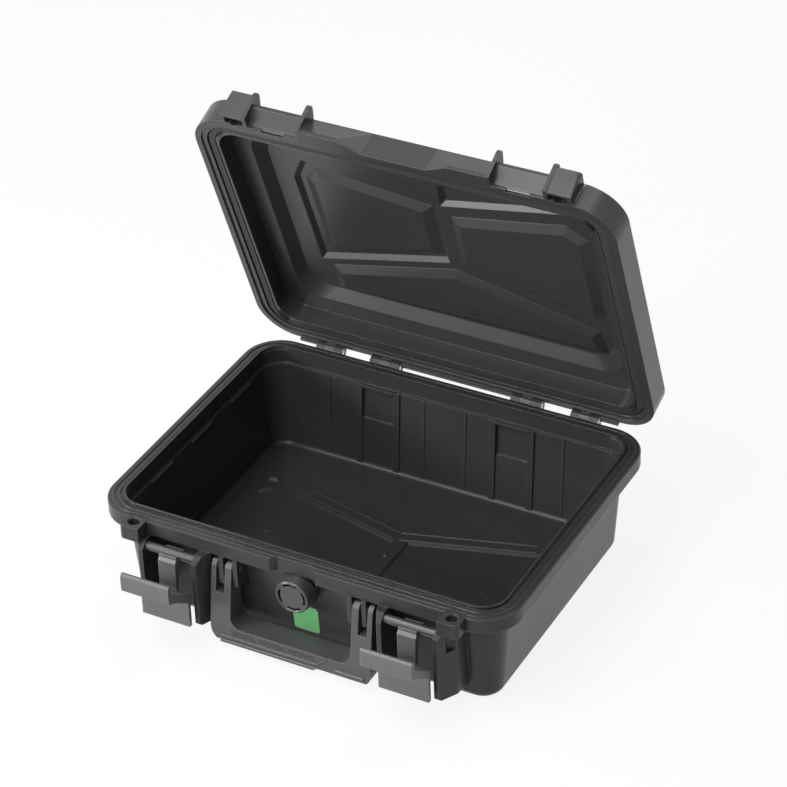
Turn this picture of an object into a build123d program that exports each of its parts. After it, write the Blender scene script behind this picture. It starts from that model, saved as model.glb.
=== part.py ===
"""Protective case with a hinged lid, two snap latches, a carry handle and a pressure valve.

Millimetres, +Z up, front of the case toward -Y. The origin is the middle of the flat underside.
The lid is modelled shut and turned open about its hinge; all other pieces are modelled in place.
"""
import os
from math import atan2, cos, degrees, hypot, radians, sin, tan

from build123d import *

# Rim of the base
RIM_WIDTH = 336.0
RIM_DEPTH = 253.2
RIM_CORNER = 30.0
RIM_TOP = 87.2
RIM_DROP = 11.7
RIM_OPENING_INSET = 13.0
RIM_OPENING_CORNER = 20.0
SEAL_LIP_HEIGHT = 2.5
SEAL_LIP_THICKNESS = 1.8
RIM_RIDGE_HEIGHT = 0.8
RIM_RIDGE_WIDTH = 1.3
RIM_RIDGE_INSETS = (3.4, 7.8)
FRONT_SETBACK = 4.6
SETBACK_HALF_WIDTH = 14.5
SETBACK_CHAMFER = 4.5

# Tub of the base
BOTTOM_INSET_X = 18.0
BOTTOM_INSET_Y = 18.1
BOTTOM_CORNER = 16.0
BOTTOM_ROUNDING = 7.0
DRAFT = 0.08
WALL = 3.2
FLOOR = 3.5
FLOOR_ROUNDING = 4.0
LEDGE_LIP_LENGTH = 29.0
LEDGE_LIP_REACH = 2.0
LEDGE_LIP_HEIGHT = 2.2
SIDE_LIP_Y = (-55.0, 3.0, 61.0)
PILASTER_X = (41.5, 74.0)
PILASTER_WIDTH = 5.0
PILASTER_DEPTH = 1.2
SEAM_X = (18.0, 101.0)
SEAM_WIDTH = 1.6
SEAM_DEPTH = 0.5
RECESS_HEIGHT = 29.5
RECESS_DEPTH = 1.2
FLOOR_RIDGES = (((-92.0, 51.0), (0.0, 30.5)), ((0.0, 30.5), (106.0, 62.0)), ((4.0, 27.0), (4.0, -68.0)))
FLOOR_RIDGE_HEIGHT = 2.2
FLOOR_RIDGE_WIDTH = 15.0
FLOOR_RIDGE_BEVEL = 2.8

# Hinges
HINGE_BEHIND_RIM = 4.2
HINGE_BELOW_RIM_TOP = 1.9
OPEN_ANGLE = 69.4
KNUCKLE_RADIUS = 5.0
KNUCKLE_RELIEF = 0.5
KNUCKLE_GAP = 0.3
HINGE_CLUSTERS = ((48.4, 73.4), (98.9, 120.9))
LID_KNUCKLE_SHARE = 0.36
BACK_LIP_SPANS = ((-47.6, 47.6), (121.7, 137.0), (-137.0, -121.7))
BACK_LIP_GAP = 0.7
BACK_LIP_THICKNESS = 2.3
BACK_LIP_DROP = 2.3
BACK_LIP_HEIGHT = 7.3
BACK_LIP_SLOPE = 2.5
HINGE_PIN_RADIUS = 2.0
PIN_CLEARANCE = 0.05

# Lid
LID_OVERHANG_X = 1.8
LID_OVERHANG_Y = 1.3
LID_CORNER = 31.0
LID_GAP = 0.3
LID_SKIRT_HEIGHT = 20.9
LID_CROWN_INSET_X = 38.0
LID_CROWN_INSET_Y = 40.0
LID_CROWN_CORNER = 22.0
LID_CROWN_RISE = 9.6
LID_CROWN_STEPS = ((0.0, 0.0), (0.62, 0.19), (1.0, 1.0))
LID_WALL = 3.0
LID_RECESS_DEPTH = 3.2
LID_INNER_WALL_INSET = 15.8
LID_INNER_WALL_HEIGHT = 18.5
LID_GROOVE_INSET = 7.2
LID_GROOVE_WIDTH = 6.6
LID_STEP_INSET = 2.9
LID_STEP_HEIGHT = 1.4
LID_RECESS_SLOPE = 50.0
LID_PLATEAU_RISE = 1.8
LID_PLATEAU_SLOPE = 74.0
LID_RIDGE_HUB = (8.0, 17.0)
LID_RIDGE_NECK_Y = -51.0
LID_RIDGE_HALF_WIDTH = 4.0
LID_FIELD_EDGE = (18.0, 3.5, 1.5)

# Seal in the lid
SEAL_INSET = 8.0
SEAL_WIDTH = 5.0
SEAL_HEIGHT = 4.0
SEAL_LIP_CLEARANCE = 0.3

# Latch bays
CHANNEL_INNER = 77.5
CHANNEL_OUTER = 118.5
BULKHEAD_REACH = 12.4
BULKHEAD_BOTTOM = 15.0
BULKHEAD_FRONT_THICKNESS = 3.6
BULKHEAD_FLARE = 9.5
BULKHEAD_FLARE_INSET = 1.6
BULKHEAD_CHAMFER = 5.5
LATCH_BAR_REACH = 5.4
LATCH_BAR_BELOW_RIM = 5.5
LATCH_BAR_RADIUS = 3.5
LATCH_BAR_SOCKET = 2.4

# Latch lever: snap claw on the bar, bent finger, pull plate, arm and turned up lip
LEVER_SIDE_GAP = 0.35
CLAW_WIDTH = 14.4
CLAW_THICKNESS = 2.4
CLAW_START = 170.0
CLAW_END = 370.0
FULL_TURN = 360.0
FINGER_THICKNESS = 3.4
CLAW_MOUTH_REACH = 10.65
FINGER_CREST = (4.9, -0.2)
FINGER_BEND = (7.6, -3.8)
FINGER_KNEE = (8.0, -24.0)
FINGER_ROOT = (-2.0, -4.6)
FINGER_BACK_STEP = 3.2
PLATE_REACH = 14.0
PLATE_THICKNESS = 3.0
PLATE_DROP = 52.0
ARM_ROOT_DROP = 30.3
ARM_SLOPE = 34.0
ARM_THICKNESS = 6.5
ARM_REACH = 29.0
LIP_REACH = 38.6
LIP_THICKNESS = 4.6

# Padlock eyes
EYE_X = 129.5
EYE_REACH = 3.6
EYE_RADIUS = 4.0
EYE_CHAMFER = 1.0
EYE_RELIEF = 0.8
EYE_RELIEF_DEPTH = 20.0
EYE_BOSS_INNER = 121.5
EYE_BOSS_OUTER = 138.0
EYE_BOSS_REACH = 12.0
EYE_BOSS_ROUNDING = 4.0

# Lid front
RIB_THICKNESS = 3.0
RIB_FOOT_REACH = 9.3
RIB_REACH = 12.5
RIB_SHOULDER_DROP = 1.4
RIB_RISE = 3.6
PADLOCK_BOX_OUTER = 140.0
PADLOCK_BOX_FOOT_REACH = 8.5
PADLOCK_BOX_REACH = 12.3
PADLOCK_BOX_SHOULDER_DROP = 1.6
PADLOCK_BOX_RISE = 0.8
PADLOCK_BOX_WALL = 2.2
PADLOCK_BOX_ROUNDING = 3.5
PADLOCK_HOLLOW_HEIGHT = 13.0
BROW_REACH = 8.6
BROW_INNER = 26.0
BROW_SHOULDER = 44.0
BROW_FACE = 3.0
CATCH_NOSE = 3.0
CATCH_OVERLAP = 4.0
CATCH_GAP = 0.6
CATCH_START_HEIGHT = 3.0
NOTCH_HALF_WIDTH = 9.0
NOTCH_HEIGHT = 2.4

# Handle
HANDLE_PIVOT_INSET = 3.1
HANDLE_PIVOT_BELOW_RIM = 9.5
HANDLE_PIN_RADIUS = 2.0
HANDLE_LEG_INNER = 49.6
HANDLE_LEG_OUTER = 66.0
HANDLE_EAR_RADIUS = 6.0
HANDLE_SLOT_DEPTH = 19.0
HANDLE_SLOT_CUT = 9.0
HANDLE_SLOT_GAP = 1.8
HANDLE_BOTTOM = 4.0
HANDLE_GRIP_HEIGHT = 16.0
HANDLE_REACH_TOP = 7.5
HANDLE_REACH_BOTTOM = 13.0
HANDLE_BACK_INSET = 5.5
HANDLE_FRONT_SHOULDER = 8.0
HANDLE_BACK_SHOULDER = 16.0
HANDLE_HEEL = 3.0
HANDLE_TOE = 4.0
HANDLE_CORNER = 12.0
HANDLE_OPENING_CORNER = 9.0
LUG_X = (47.0, 58.5)
LUG_THICKNESS = 3.6
LUG_REACH = 5.2
LUG_DROP = 15.0

# Pressure valve
VALVE_BELOW_RIM = 15.5
VALVE_BOSS_RADIUS = 14.5
VALVE_BOSS_INSET = 8.6
VALVE_STUB_RADIUS = 8.0
VALVE_PAD_RADIUS = 12.5
VALVE_PAD_INSET = 19.8
VALVE_SEAL_THICKNESS = 1.5
VALVE_SEAL_OUTER = 13.0
VALVE_FLANGE_THICKNESS = 3.0
VALVE_FLANGE_RADIUS = 14.2
VALVE_CAP_RADIUS = 15.2
VALVE_CAP_FACE_RADIUS = 13.3
VALVE_CAP_DEPTH = 12.0
VALVE_CAP_WALL = 1.8
VALVE_CAP_RIM = 1.5
VALVE_CAP_RECESS = 0.6
VALVE_BORE_RADIUS = 5.0
VALVE_NUT_THICKNESS = 3.5
VALVE_NUT_RADIUS = 11.0
VALVE_STUB_REACH = 1.5
MEMBRANE_RADIUS = 6.8
MEMBRANE_THICKNESS = 0.6
CAP_SLOT_INNER = 9.3
CAP_SLOT_OUTER = 11.3
CAP_SLOT_ANGLE = 62.0

# Label
LABEL_WIDTH = 21.0
LABEL_BOTTOM = 16.0
LABEL_HEIGHT = 24.0
LABEL_THICKNESS = 0.4

# Places that follow from the sizes above
RIM_FRONT = -RIM_DEPTH / 2
RIM_BACK = RIM_DEPTH / 2
RIM_BOTTOM = RIM_TOP - RIM_DROP
BOTTOM_WIDTH = RIM_WIDTH - 2 * BOTTOM_INSET_X
BOTTOM_DEPTH = RIM_DEPTH - 2 * BOTTOM_INSET_Y
RECESS_BOTTOM = RIM_BOTTOM - RECESS_HEIGHT
HINGE_Y = RIM_BACK + HINGE_BEHIND_RIM
HINGE_Z = RIM_TOP - HINGE_BELOW_RIM_TOP
BACK_LIP_FRONT = RIM_BACK + BACK_LIP_GAP
BACK_LIP_BACK = BACK_LIP_FRONT + BACK_LIP_THICKNESS
LID_WIDTH = RIM_WIDTH + 2 * LID_OVERHANG_X
LID_DEPTH = RIM_DEPTH + 2 * LID_OVERHANG_Y
LID_FRONT = -LID_DEPTH / 2
LID_BACK = LID_DEPTH / 2
LID_BOTTOM = RIM_TOP + LID_GAP
LID_SKIRT_TOP = LID_BOTTOM + LID_SKIRT_HEIGHT
LID_CROWN_TOP = LID_SKIRT_TOP + LID_CROWN_RISE
LID_INNER_WALL_TOP = LID_BOTTOM + LID_INNER_WALL_HEIGHT
BACK_LIP_BOTTOM = LID_BOTTOM - BACK_LIP_DROP
BACK_LIP_TOP = BACK_LIP_BOTTOM + BACK_LIP_HEIGHT
LATCH_X = (CHANNEL_INNER + CHANNEL_OUTER) / 2
LATCH_BAR_Y = RIM_FRONT - LATCH_BAR_REACH
LATCH_BAR_Z = RIM_BOTTOM - LATCH_BAR_BELOW_RIM
BULKHEAD_FRONT = RIM_FRONT - BULKHEAD_REACH
BULKHEAD_FLARE_Y = RIM_FRONT + BULKHEAD_FLARE_INSET
PLATE_FRONT = LATCH_BAR_Y - PLATE_REACH
PLATE_BOTTOM = LATCH_BAR_Z - PLATE_DROP
ARM_ROOT_Z = LATCH_BAR_Z - ARM_ROOT_DROP
LIP_FRONT = LATCH_BAR_Y - LIP_REACH
LIP_TOP = LATCH_BAR_Z
EYE_Y = RIM_FRONT - EYE_REACH
EYE_BOSS_FRONT = RIM_FRONT - EYE_BOSS_REACH
EYE_BOSS_BACK = RIM_FRONT + RIM_RIDGE_INSETS[0]
RIB_FOOT = LID_FRONT - RIB_FOOT_REACH
RIB_FRONT = LID_FRONT - RIB_REACH
RIB_SHOULDER = LID_SKIRT_TOP - RIB_SHOULDER_DROP
RIB_TOP = LID_SKIRT_TOP + RIB_RISE
PADLOCK_BOX_FOOT = LID_FRONT - PADLOCK_BOX_FOOT_REACH
PADLOCK_BOX_FRONT = LID_FRONT - PADLOCK_BOX_REACH
PADLOCK_BOX_SHOULDER = LID_SKIRT_TOP - PADLOCK_BOX_SHOULDER_DROP
PADLOCK_BOX_TOP = LID_SKIRT_TOP + PADLOCK_BOX_RISE
PADLOCK_HOLLOW_TOP = LID_BOTTOM + PADLOCK_HOLLOW_HEIGHT
BROW_FRONT = LID_FRONT - BROW_REACH
CATCH_START = LID_BOTTOM + CATCH_START_HEIGHT
HANDLE_PIVOT_Y = RIM_FRONT + HANDLE_PIVOT_INSET
HANDLE_PIVOT_Z = RIM_BOTTOM - HANDLE_PIVOT_BELOW_RIM
HANDLE_SLOT_BOTTOM = HANDLE_PIVOT_Z - HANDLE_SLOT_DEPTH
HANDLE_GRIP_TOP = HANDLE_BOTTOM + HANDLE_GRIP_HEIGHT
HANDLE_FRONT_TOP = HANDLE_PIVOT_Y - HANDLE_REACH_TOP
HANDLE_FRONT_BOTTOM = HANDLE_PIVOT_Y - HANDLE_REACH_BOTTOM
HANDLE_BACK = HANDLE_PIVOT_Y + HANDLE_BACK_INSET
LUG_FRONT = HANDLE_PIVOT_Y - LUG_REACH
LUG_BOTTOM = HANDLE_PIVOT_Z - LUG_DROP
VALVE_Z = RIM_BOTTOM - VALVE_BELOW_RIM
VALVE_BOSS_FRONT = RIM_FRONT + VALVE_BOSS_INSET
VALVE_PAD_BACK = RIM_FRONT + VALVE_PAD_INSET
VALVE_CAP_FRONT = VALVE_BOSS_FRONT - VALVE_CAP_DEPTH
LABEL_TOP = LABEL_BOTTOM + LABEL_HEIGHT


def block(x_low, x_high, y_low, y_high, z_low, z_high):
    """Box between limits."""
    middle = Pos((x_low + x_high) / 2, (y_low + y_high) / 2, (z_low + z_high) / 2)
    return middle * Box(x_high - x_low, y_high - y_low, z_high - z_low)


def slab(width, depth, corner, low, high):
    """Upright prism with a rounded rectangular outline."""
    return Pos(0, 0, low) * extrude(RectangleRounded(width, depth, corner), high - low)


def side_prism(points, x_low, x_high):
    """Prism along X with a side profile given as (y, z) points."""
    outline = make_face(Polyline(*points, close=True))
    return extrude(Plane.YZ.offset(x_low) * outline, x_high - x_low)


def plan_prism(points, low, high):
    """Upright prism with a plan outline given as (x, y) points."""
    return Pos(0, 0, low) * extrude(make_face(Polyline(*points, close=True)), high - low)


def rod_x(radius, x_low, x_high, y, z):
    """Cylinder along X."""
    return extrude(Plane.YZ.offset(x_low) * Pos(y, z) * Circle(radius), x_high - x_low)


def rod_y(radius, y_front, y_back, x, z):
    """Cylinder along Y from a back plane to a front plane."""
    return extrude(Plane.XZ.offset(-y_back) * Pos(x, z) * Circle(radius), y_back - y_front)


def rod_z(radius, x, y, low, high):
    """Upright cylinder."""
    return Pos(x, y, low) * extrude(Circle(radius), high - low)


def both(piece):
    """The piece with its mirror image on the other side."""
    return piece + mirror(piece, about=Plane.YZ)


def ring(outer_inset, width, low, high):
    """Band that follows the rim outline."""
    outer_corner = max(RIM_CORNER - outer_inset, RIM_OPENING_CORNER)
    inner = outer_inset + width
    inner_corner = max(RIM_CORNER - inner, RIM_OPENING_CORNER - width)
    outside = slab(RIM_WIDTH - 2 * outer_inset, RIM_DEPTH - 2 * outer_inset, outer_corner, low, high)
    return outside - slab(RIM_WIDTH - 2 * inner, RIM_DEPTH - 2 * inner, inner_corner, low, high)


def tub_section(height, inset):
    """Outline of the drafted tub at a height, set in from its outer face."""
    grow = 2 * (DRAFT * height - inset)
    corner = BOTTOM_CORNER + grow / 2
    return Pos(0, 0, height) * RectangleRounded(BOTTOM_WIDTH + grow, BOTTOM_DEPTH + grow, corner)


def tub(inset, low, high):
    """Drafted tub body between two heights."""
    return loft([tub_section(low, inset), tub_section(high, inset)])


def wall_y(height):
    """Outer face of the front wall at a height."""
    return -(BOTTOM_DEPTH / 2 + DRAFT * height)


def tub_shell():
    """Walls and floor below the rim."""
    outside = tub(0, 0, RIM_BOTTOM)
    outside = fillet(outside.faces().sort_by(Axis.Z)[0].edges(), BOTTOM_ROUNDING)
    inside = tub(WALL, FLOOR, RIM_BOTTOM)
    inside = fillet(inside.faces().sort_by(Axis.Z)[0].edges(), FLOOR_ROUNDING)
    return outside - inside


def rim():
    """Rim flange with its raised lip, ridges and the set back in the middle of the front."""
    band = slab(RIM_WIDTH, RIM_DEPTH, RIM_CORNER, RIM_BOTTOM, RIM_TOP)
    top = band.faces().sort_by(Axis.Z)[-1].edges()
    band = chamfer(top, 0.8)
    opening = slab(
        RIM_WIDTH - 2 * RIM_OPENING_INSET,
        RIM_DEPTH - 2 * RIM_OPENING_INSET,
        RIM_OPENING_CORNER,
        RIM_BOTTOM - WALL,
        RIM_TOP + SEAL_LIP_HEIGHT,
    )
    lip_inset = RIM_OPENING_INSET - SEAL_LIP_THICKNESS
    band += ring(lip_inset, SEAL_LIP_THICKNESS, RIM_BOTTOM, RIM_TOP + SEAL_LIP_HEIGHT)
    for inset in RIM_RIDGE_INSETS:
        band += ring(inset, RIM_RIDGE_WIDTH, RIM_TOP - 1, RIM_TOP + RIM_RIDGE_HEIGHT)
    foot = RIM_FRONT + FRONT_SETBACK
    outer = SETBACK_HALF_WIDTH + SETBACK_CHAMFER
    notch = plan_prism(
        [(-outer, RIM_FRONT), (-outer, RIM_FRONT - 1), (outer, RIM_FRONT - 1), (outer, RIM_FRONT),
         (SETBACK_HALF_WIDTH, foot), (-SETBACK_HALF_WIDTH, foot)],
        RIM_BOTTOM,
        RIM_TOP + SEAL_LIP_HEIGHT,
    )
    return band - opening - notch


def ledge_lips():
    """Small lips under the ledge of the side and back walls."""
    low = RIM_BOTTOM - LEDGE_LIP_HEIGHT
    half = LEDGE_LIP_LENGTH / 2
    side = BOTTOM_WIDTH / 2 + DRAFT * RIM_BOTTOM - WALL
    back = BOTTOM_DEPTH / 2 + DRAFT * RIM_BOTTOM - WALL
    lips = []
    for y in SIDE_LIP_Y:
        lips.append(block(side - LEDGE_LIP_REACH, side + 1, y - half, y + half, low, RIM_BOTTOM))
    middle = sum(PILASTER_X) / 2
    lips.append(block(middle - half, middle + half, back - LEDGE_LIP_REACH, back + 1, low, RIM_BOTTOM))
    return both(Part() + lips)


def back_wall_relief():
    """Pilasters and seams to add, and the recesses to cut, on the inside of the back wall."""
    skin = tub(WALL - 0.3, FLOOR, RIM_BOTTOM)
    proud = skin - tub(WALL + PILASTER_DEPTH, FLOOR, RIM_BOTTOM)
    faint = skin - tub(WALL + SEAM_DEPTH, FLOOR, RIM_BOTTOM)
    back = BOTTOM_DEPTH / 2
    bars = []
    reach = BOTTOM_INSET_Y
    for x in PILASTER_X:
        zone = block(x - PILASTER_WIDTH / 2, x + PILASTER_WIDTH / 2, back - reach, back + reach, FLOOR, RIM_BOTTOM)
        bars.append(both(proud & zone))
    for x in SEAM_X:
        zone = block(x - SEAM_WIDTH / 2, x + SEAM_WIDTH / 2, back - reach, back + reach, FLOOR, RIM_BOTTOM)
        bars.append(both(faint & zone))
    inner = PILASTER_X[0] + PILASTER_WIDTH / 2
    outer = PILASTER_X[1] - PILASTER_WIDTH / 2
    zone = block(inner, outer, 0, back + reach, RECESS_BOTTOM, RIM_BOTTOM)
    return bars, both(zone & tub(WALL - RECESS_DEPTH, FLOOR, RIM_BOTTOM))


def floor_ridge(start, end):
    """Flat topped ridge between two points of the floor."""
    length = hypot(end[0] - start[0], end[1] - start[1])
    turn = atan2(end[1] - start[1], end[0] - start[0])
    foot = SlotOverall(length + FLOOR_RIDGE_WIDTH, FLOOR_RIDGE_WIDTH)
    crest_width = FLOOR_RIDGE_WIDTH - 2 * FLOOR_RIDGE_BEVEL
    crest = Pos(0, 0, FLOOR_RIDGE_HEIGHT + 1) * SlotOverall(length + crest_width, crest_width)
    middle = Pos((start[0] + end[0]) / 2, (start[1] + end[1]) / 2, FLOOR - 1)
    return middle * Rot(0, 0, degrees(turn)) * loft([foot, crest])


def bulkhead_pair():
    """The two flared bulkheads of the right-hand latch bay, with sockets for the latch bar."""
    wall = wall_y(BULKHEAD_BOTTOM) + 1
    outer = plan_prism(
        [(CHANNEL_OUTER, wall), (CHANNEL_OUTER, BULKHEAD_FRONT),
         (CHANNEL_OUTER + BULKHEAD_FRONT_THICKNESS, BULKHEAD_FRONT),
         (CHANNEL_OUTER + BULKHEAD_FLARE + 2, BULKHEAD_FLARE_Y),
         (CHANNEL_OUTER + BULKHEAD_FLARE + 4, wall)],
        BULKHEAD_BOTTOM, RIM_BOTTOM,
    )
    inner = plan_prism(
        [(CHANNEL_INNER, wall), (CHANNEL_INNER, BULKHEAD_FRONT),
         (CHANNEL_INNER - BULKHEAD_FRONT_THICKNESS, BULKHEAD_FRONT),
         (CHANNEL_INNER - BULKHEAD_FLARE, BULKHEAD_FLARE_Y),
         (CHANNEL_INNER - BULKHEAD_FLARE, wall)],
        BULKHEAD_BOTTOM, RIM_BOTTOM,
    )
    chamfer_back = BULKHEAD_FRONT + BULKHEAD_CHAMFER
    profile = side_prism(
        [(wall, BULKHEAD_BOTTOM), (BULKHEAD_FRONT + 2, BULKHEAD_BOTTOM), (BULKHEAD_FRONT, BULKHEAD_BOTTOM + 2),
         (BULKHEAD_FRONT, RIM_BOTTOM - BULKHEAD_CHAMFER), (chamfer_back, RIM_BOTTOM), (wall, RIM_BOTTOM)],
        CHANNEL_INNER - 2 * BULKHEAD_FLARE, CHANNEL_OUTER + 3 * BULKHEAD_FLARE,
    )
    pair = (outer + inner) & profile
    socket = rod_x(
        LATCH_BAR_RADIUS + PIN_CLEARANCE,
        CHANNEL_INNER - LATCH_BAR_SOCKET - PIN_CLEARANCE,
        CHANNEL_OUTER + LATCH_BAR_SOCKET + PIN_CLEARANCE,
        LATCH_BAR_Y, LATCH_BAR_Z,
    )
    return pair - socket


def eye_bay():
    """Room in the rim for the right-hand padlock eye, and the way for a shackle below it."""
    bay = block(EYE_BOSS_INNER, EYE_BOSS_OUTER, EYE_BOSS_FRONT, EYE_BOSS_BACK, RIM_BOTTOM, RIM_TOP)
    return bay + rod_z(EYE_RADIUS + EYE_RELIEF, EYE_X, EYE_Y, RIM_BOTTOM - EYE_RELIEF_DEPTH, RIM_BOTTOM)


def padlock_eye():
    """Right-hand padlock eye: block flush with the rim with an upright chamfered hole."""
    boss = block(EYE_BOSS_INNER, EYE_BOSS_OUTER, EYE_BOSS_FRONT, EYE_BOSS_BACK, RIM_BOTTOM, RIM_TOP)
    front_edges = boss.edges().filter_by(Axis.Z).sort_by(Axis.Y)[:2]
    boss = fillet(front_edges.sort_by(Axis.X)[-1], EYE_BOSS_ROUNDING)
    boss -= rod_z(EYE_RADIUS, EYE_X, EYE_Y, RIM_BOTTOM, RIM_TOP)
    cone = Cone(EYE_RADIUS, EYE_RADIUS + EYE_CHAMFER, EYE_CHAMFER)
    return boss - Pos(EYE_X, EYE_Y, RIM_TOP - EYE_CHAMFER / 2) * cone


def handle_lug(x):
    """Lug under the rim that holds the handle pin."""
    half = LUG_THICKNESS / 2
    lug = side_prism(
        [(wall_y(LUG_BOTTOM) + 1, LUG_BOTTOM - 3), (LUG_FRONT + 2, LUG_BOTTOM), (LUG_FRONT, LUG_BOTTOM + 2),
         (LUG_FRONT, RIM_BOTTOM), (wall_y(LUG_BOTTOM) + 1, RIM_BOTTOM)],
        x - half, x + half,
    )
    return lug - rod_x(HANDLE_PIN_RADIUS + PIN_CLEARANCE, x - half, x + half, HANDLE_PIVOT_Y, HANDLE_PIVOT_Z)


def valve_boss():
    """Pillar and inner pad that carry the pressure valve."""
    wall = wall_y(VALVE_Z) + 1.5
    boss = rod_y(VALVE_BOSS_RADIUS, VALVE_BOSS_FRONT, wall, 0, VALVE_Z)
    boss += block(-VALVE_BOSS_RADIUS, VALVE_BOSS_RADIUS, VALVE_BOSS_FRONT, wall, VALVE_Z, RIM_BOTTOM)
    boss += rod_y(VALVE_PAD_RADIUS, wall, VALVE_PAD_BACK, 0, VALVE_Z)
    return boss


def hinge_spans():
    """Base and lid knuckle spans along X, from the middle of the case outward."""
    base_spans, lid_spans = [], []
    for low, high in HINGE_CLUSTERS:
        lid_width = (high - low) * LID_KNUCKLE_SHARE
        lid_low = (low + high - lid_width) / 2
        lid_spans.append((lid_low, lid_low + lid_width))
        base_spans.append((low, lid_low - KNUCKLE_GAP))
        base_spans.append((lid_low + lid_width + KNUCKLE_GAP, high))
    return base_spans, lid_spans


def hinge_relief(spans):
    """Clearance cut around the hinge axis beside the other half's knuckles."""
    reach = KNUCKLE_RADIUS + KNUCKLE_RELIEF
    cuts = [rod_x(reach, low - KNUCKLE_GAP, high + KNUCKLE_GAP, HINGE_Y, HINGE_Z) for low, high in spans]
    return Part() + cuts


def base_knuckles():
    """Knuckles on the back of the rim."""
    shapes = []
    for low, high in hinge_spans()[0]:
        shapes.append(rod_x(KNUCKLE_RADIUS, low, high, HINGE_Y, HINGE_Z))
        web = [(HINGE_Y - 7, HINGE_Z), (HINGE_Y, HINGE_Z), (HINGE_Y + 4, HINGE_Z - 3), (HINGE_Y + 1, HINGE_Z - 9.8),
               (HINGE_Y - 7, HINGE_Z - 9.8)]
        shapes.append(side_prism(web, low, high))
    return Part() + shapes


def hinge_bores(radius):
    """Right-hand rods along the hinge axis, one through each knuckle cluster."""
    return [rod_x(radius, low, high, HINGE_Y, HINGE_Z) for low, high in HINGE_CLUSTERS]


def base_shell():
    """The moulded base."""
    relief_add, relief_cut = back_wall_relief()
    shell = tub_shell() + rim()
    shell -= relief_cut
    shell += relief_add
    shell += ledge_lips()
    for start, end in FLOOR_RIDGES:
        shell += floor_ridge(start, end)
    right = bulkhead_pair() + handle_lug(LUG_X[0]) + handle_lug(LUG_X[1])
    shell += both(right)
    shell -= both(eye_bay())
    shell += valve_boss()
    shell -= rod_y(VALVE_STUB_RADIUS + PIN_CLEARANCE, VALVE_BOSS_FRONT, VALVE_PAD_BACK, 0, VALVE_Z)
    shell -= both(hinge_relief(hinge_spans()[1]))
    shell += both(base_knuckles())
    return shell - both(Part() + hinge_bores(HINGE_PIN_RADIUS + PIN_CLEARANCE))


def lid_section(inset_x, inset_y, corner, height):
    """Rounded outline of the lid at a height."""
    return Pos(0, 0, height) * RectangleRounded(LID_WIDTH - 2 * inset_x, LID_DEPTH - 2 * inset_y, corner)


def lid_slope(foot, corner, low, crown, high):
    """Domed body from a foot outline up to a crown outline, each given as insets in X and Y."""
    sections = []
    for inward, upward in LID_CROWN_STEPS:
        inset_x = foot[0] + (crown[0] - foot[0]) * inward
        inset_y = foot[1] + (crown[1] - foot[1]) * inward
        section_corner = corner + (LID_CROWN_CORNER - corner) * inward
        sections.append(lid_section(inset_x, inset_y, section_corner, low + (high - low) * upward))
    return loft(sections, ruled=True)


def crown_limits():
    """Half width and half depth of the flat crown inside the lid."""
    return LID_WIDTH / 2 - LID_CROWN_INSET_X, LID_DEPTH / 2 - LID_CROWN_INSET_Y


def lid_recess_outlines():
    """The recessed fields above the ridges: one on the left, one along the front on the right."""
    half_x, half_y = crown_limits()
    side_gap, front_gap, edge = LID_FIELD_EDGE
    left = -half_x + side_gap
    hub_x, hub_y = LID_RIDGE_HUB
    spine = hub_x - LID_RIDGE_HALF_WIDTH
    ridge_left_y = half_y - 34.5
    ridge_right_y = -half_y + 8.5
    left_field = [(left + 10, -half_y + 22), (hub_x - 1, LID_RIDGE_NECK_Y), (spine, hub_y),
                  (left, ridge_left_y), (left - 1, -half_y + 44)]
    front_field = [(hub_x + 1, LID_RIDGE_NECK_Y), (half_x - 8, ridge_right_y),
                   (half_x - 8 - edge, -half_y + front_gap), (hub_x + 4, -half_y + front_gap)]
    return left_field, front_field


def lid_plateau_outlines():
    """The raised fields below the ridges: one on the right, one along the hinge side."""
    half_x, half_y = crown_limits()
    hub_x, hub_y = LID_RIDGE_HUB
    spine = hub_x + LID_RIDGE_HALF_WIDTH + 2
    right_field = [(spine + 3, LID_RIDGE_NECK_Y + 9), (half_x - 19, -half_y + 23), (half_x - 2.5, -half_y + 35),
                   (half_x - 2.5, half_y - 56), (half_x - 8, half_y - 46), (spine, hub_y - 4)]
    back_field = [(-half_x + 27, half_y - 30.5), (hub_x, hub_y + 6), (half_x - 11, half_y - 32),
                  (half_x - 7, half_y - 5), (-half_x + 26, half_y - 1)]
    return right_field, back_field


def tapered_field(points, foot, top, slope):
    """Field with sloped sides that narrows from its foot to its top, upward or downward."""
    outline = make_face(Polyline(*points, close=True))
    inset = abs(top - foot) * tan(radians(slope))
    crest = offset(outline, -inset, kind=Kind.INTERSECTION)
    return loft([Pos(0, 0, foot) * outline, Pos(0, 0, top) * crest], ruled=True)


def lid_dome():
    """Outside of the lid."""
    dome = slab(LID_WIDTH, LID_DEPTH, LID_CORNER, LID_BOTTOM, LID_SKIRT_TOP)
    dome += lid_slope((0, 0), LID_CORNER, LID_SKIRT_TOP, (LID_CROWN_INSET_X, LID_CROWN_INSET_Y), LID_CROWN_TOP)
    for points in lid_recess_outlines():
        dome += tapered_field(points, LID_CROWN_TOP, LID_CROWN_TOP + LID_RECESS_DEPTH, LID_RECESS_SLOPE)
    return dome


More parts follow.
